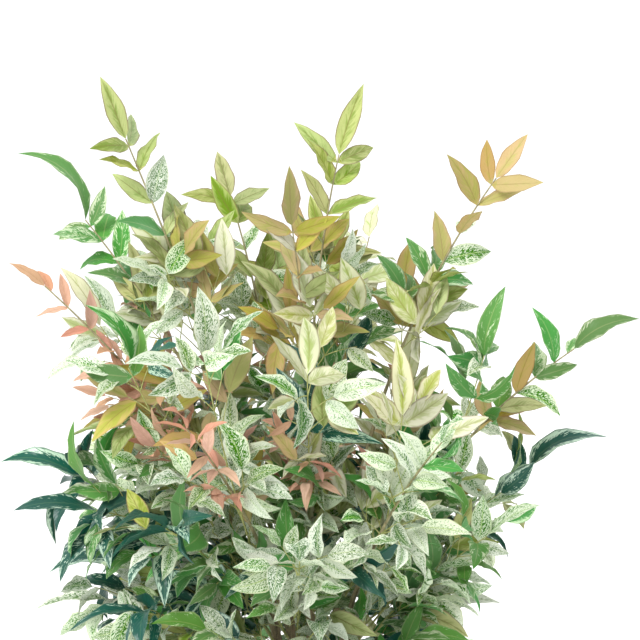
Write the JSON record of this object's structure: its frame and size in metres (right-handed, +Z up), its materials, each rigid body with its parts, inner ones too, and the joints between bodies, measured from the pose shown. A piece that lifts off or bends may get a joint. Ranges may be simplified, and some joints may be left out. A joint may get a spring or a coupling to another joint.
{
  "type": "heavenly bamboo",
  "caption": "Evergreen shrub: a clump of slender arching canes from one woody root crown, carrying open sprays of variegated pointed leaves.",
  "frame": {"origin": "on the flat cut under the root crown, at ground level, in the middle of the ring of canes", "axes": "+Z up, +X to the right of the plant's front, +Y to its back"},
  "size_m": [0.7604, 0.6706, 0.8974],
  "materials": {
    "root_bark": "rough grey-brown bark with ridges",
    "cane_bark": "matt brown bark, greener and smoother on young stalks",
    "cream_leaf": "satin leaf, cream with fine green speckles",
    "teal_leaf": "glossy leaf, dark blue-green with pale splashes",
    "green_leaf": "satin leaf, mid green with pale marbling",
    "lime_leaf": "satin young leaf, pale yellow-green",
    "olive_leaf": "satin leaf, olive yellow-green",
    "gold_leaf": "satin young leaf, gold to peach",
    "coral_leaf": "satin newest leaf, pale salmon to coral"
  },
  "bodies": {
    "root": {"root_crown": "root_bark", "cane_far_right": "cane_bark", "cane_right": "cane_bark", "cane_upright": "cane_bark", "cane_back": "cane_bark", "cane_back_left": "cane_bark", "cane_left_arch": "cane_bark", "cane_spire": "cane_bark", "cane_left": "cane_bark", "cane_front_left": "cane_bark", "cane_heart": "cane_bark", "cane_front_right": "cane_bark", "spray_far_right_tip": "green_leaf", "spray_right_tip": "gold_leaf", "spray_upright_tip": "olive_leaf", "spray_back_tip": "lime_leaf", "spray_back_left_tip": "olive_leaf", "spray_left_arch_tip": "green_leaf", "spray_spire_tip": "olive_leaf", "spray_left_tip": "coral_leaf", "spray_front_left_tip": "coral_leaf", "spray_heart_tip": "gold_leaf", "spray_front_right_tip": "cream_leaf", "spray_far_right_upper": "green_leaf", "spray_right_upper": "lime_leaf", "spray_upright_upper": "green_leaf", "spray_back_upper": "cream_leaf", "spray_back_left_upper": "green_leaf", "spray_left_arch_upper": "cream_leaf", "spray_spire_upper": "lime_leaf", "spray_left_upper": "green_leaf", "spray_front_left_upper": "cream_leaf", "spray_heart_upper": "lime_leaf", "spray_front_right_upper": "lime_leaf", "spray_far_right_middle": "teal_leaf", "spray_right_middle": "cream_leaf", "spray_upright_middle": "green_leaf", "spray_back_middle": "green_leaf", "spray_back_left_middle": "cream_leaf", "spray_left_arch_middle": "teal_leaf", "spray_spire_middle": "teal_leaf", "spray_left_middle": "teal_leaf", "spray_front_left_middle": "cream_leaf", "spray_heart_middle": "cream_leaf", "spray_front_right_middle": "cream_leaf", "spray_far_right_low": "cream_leaf", "spray_right_low": "teal_leaf", "spray_upright_low": "cream_leaf", "spray_back_low": "cream_leaf", "spray_back_left_low": "teal_leaf", "spray_left_arch_low": "teal_leaf", "spray_spire_low": "cream_leaf", "spray_left_low": "teal_leaf", "spray_front_left_low": "cream_leaf", "spray_heart_low": "cream_leaf", "spray_front_right_low": "green_leaf"}
  },
  "joints": []
}
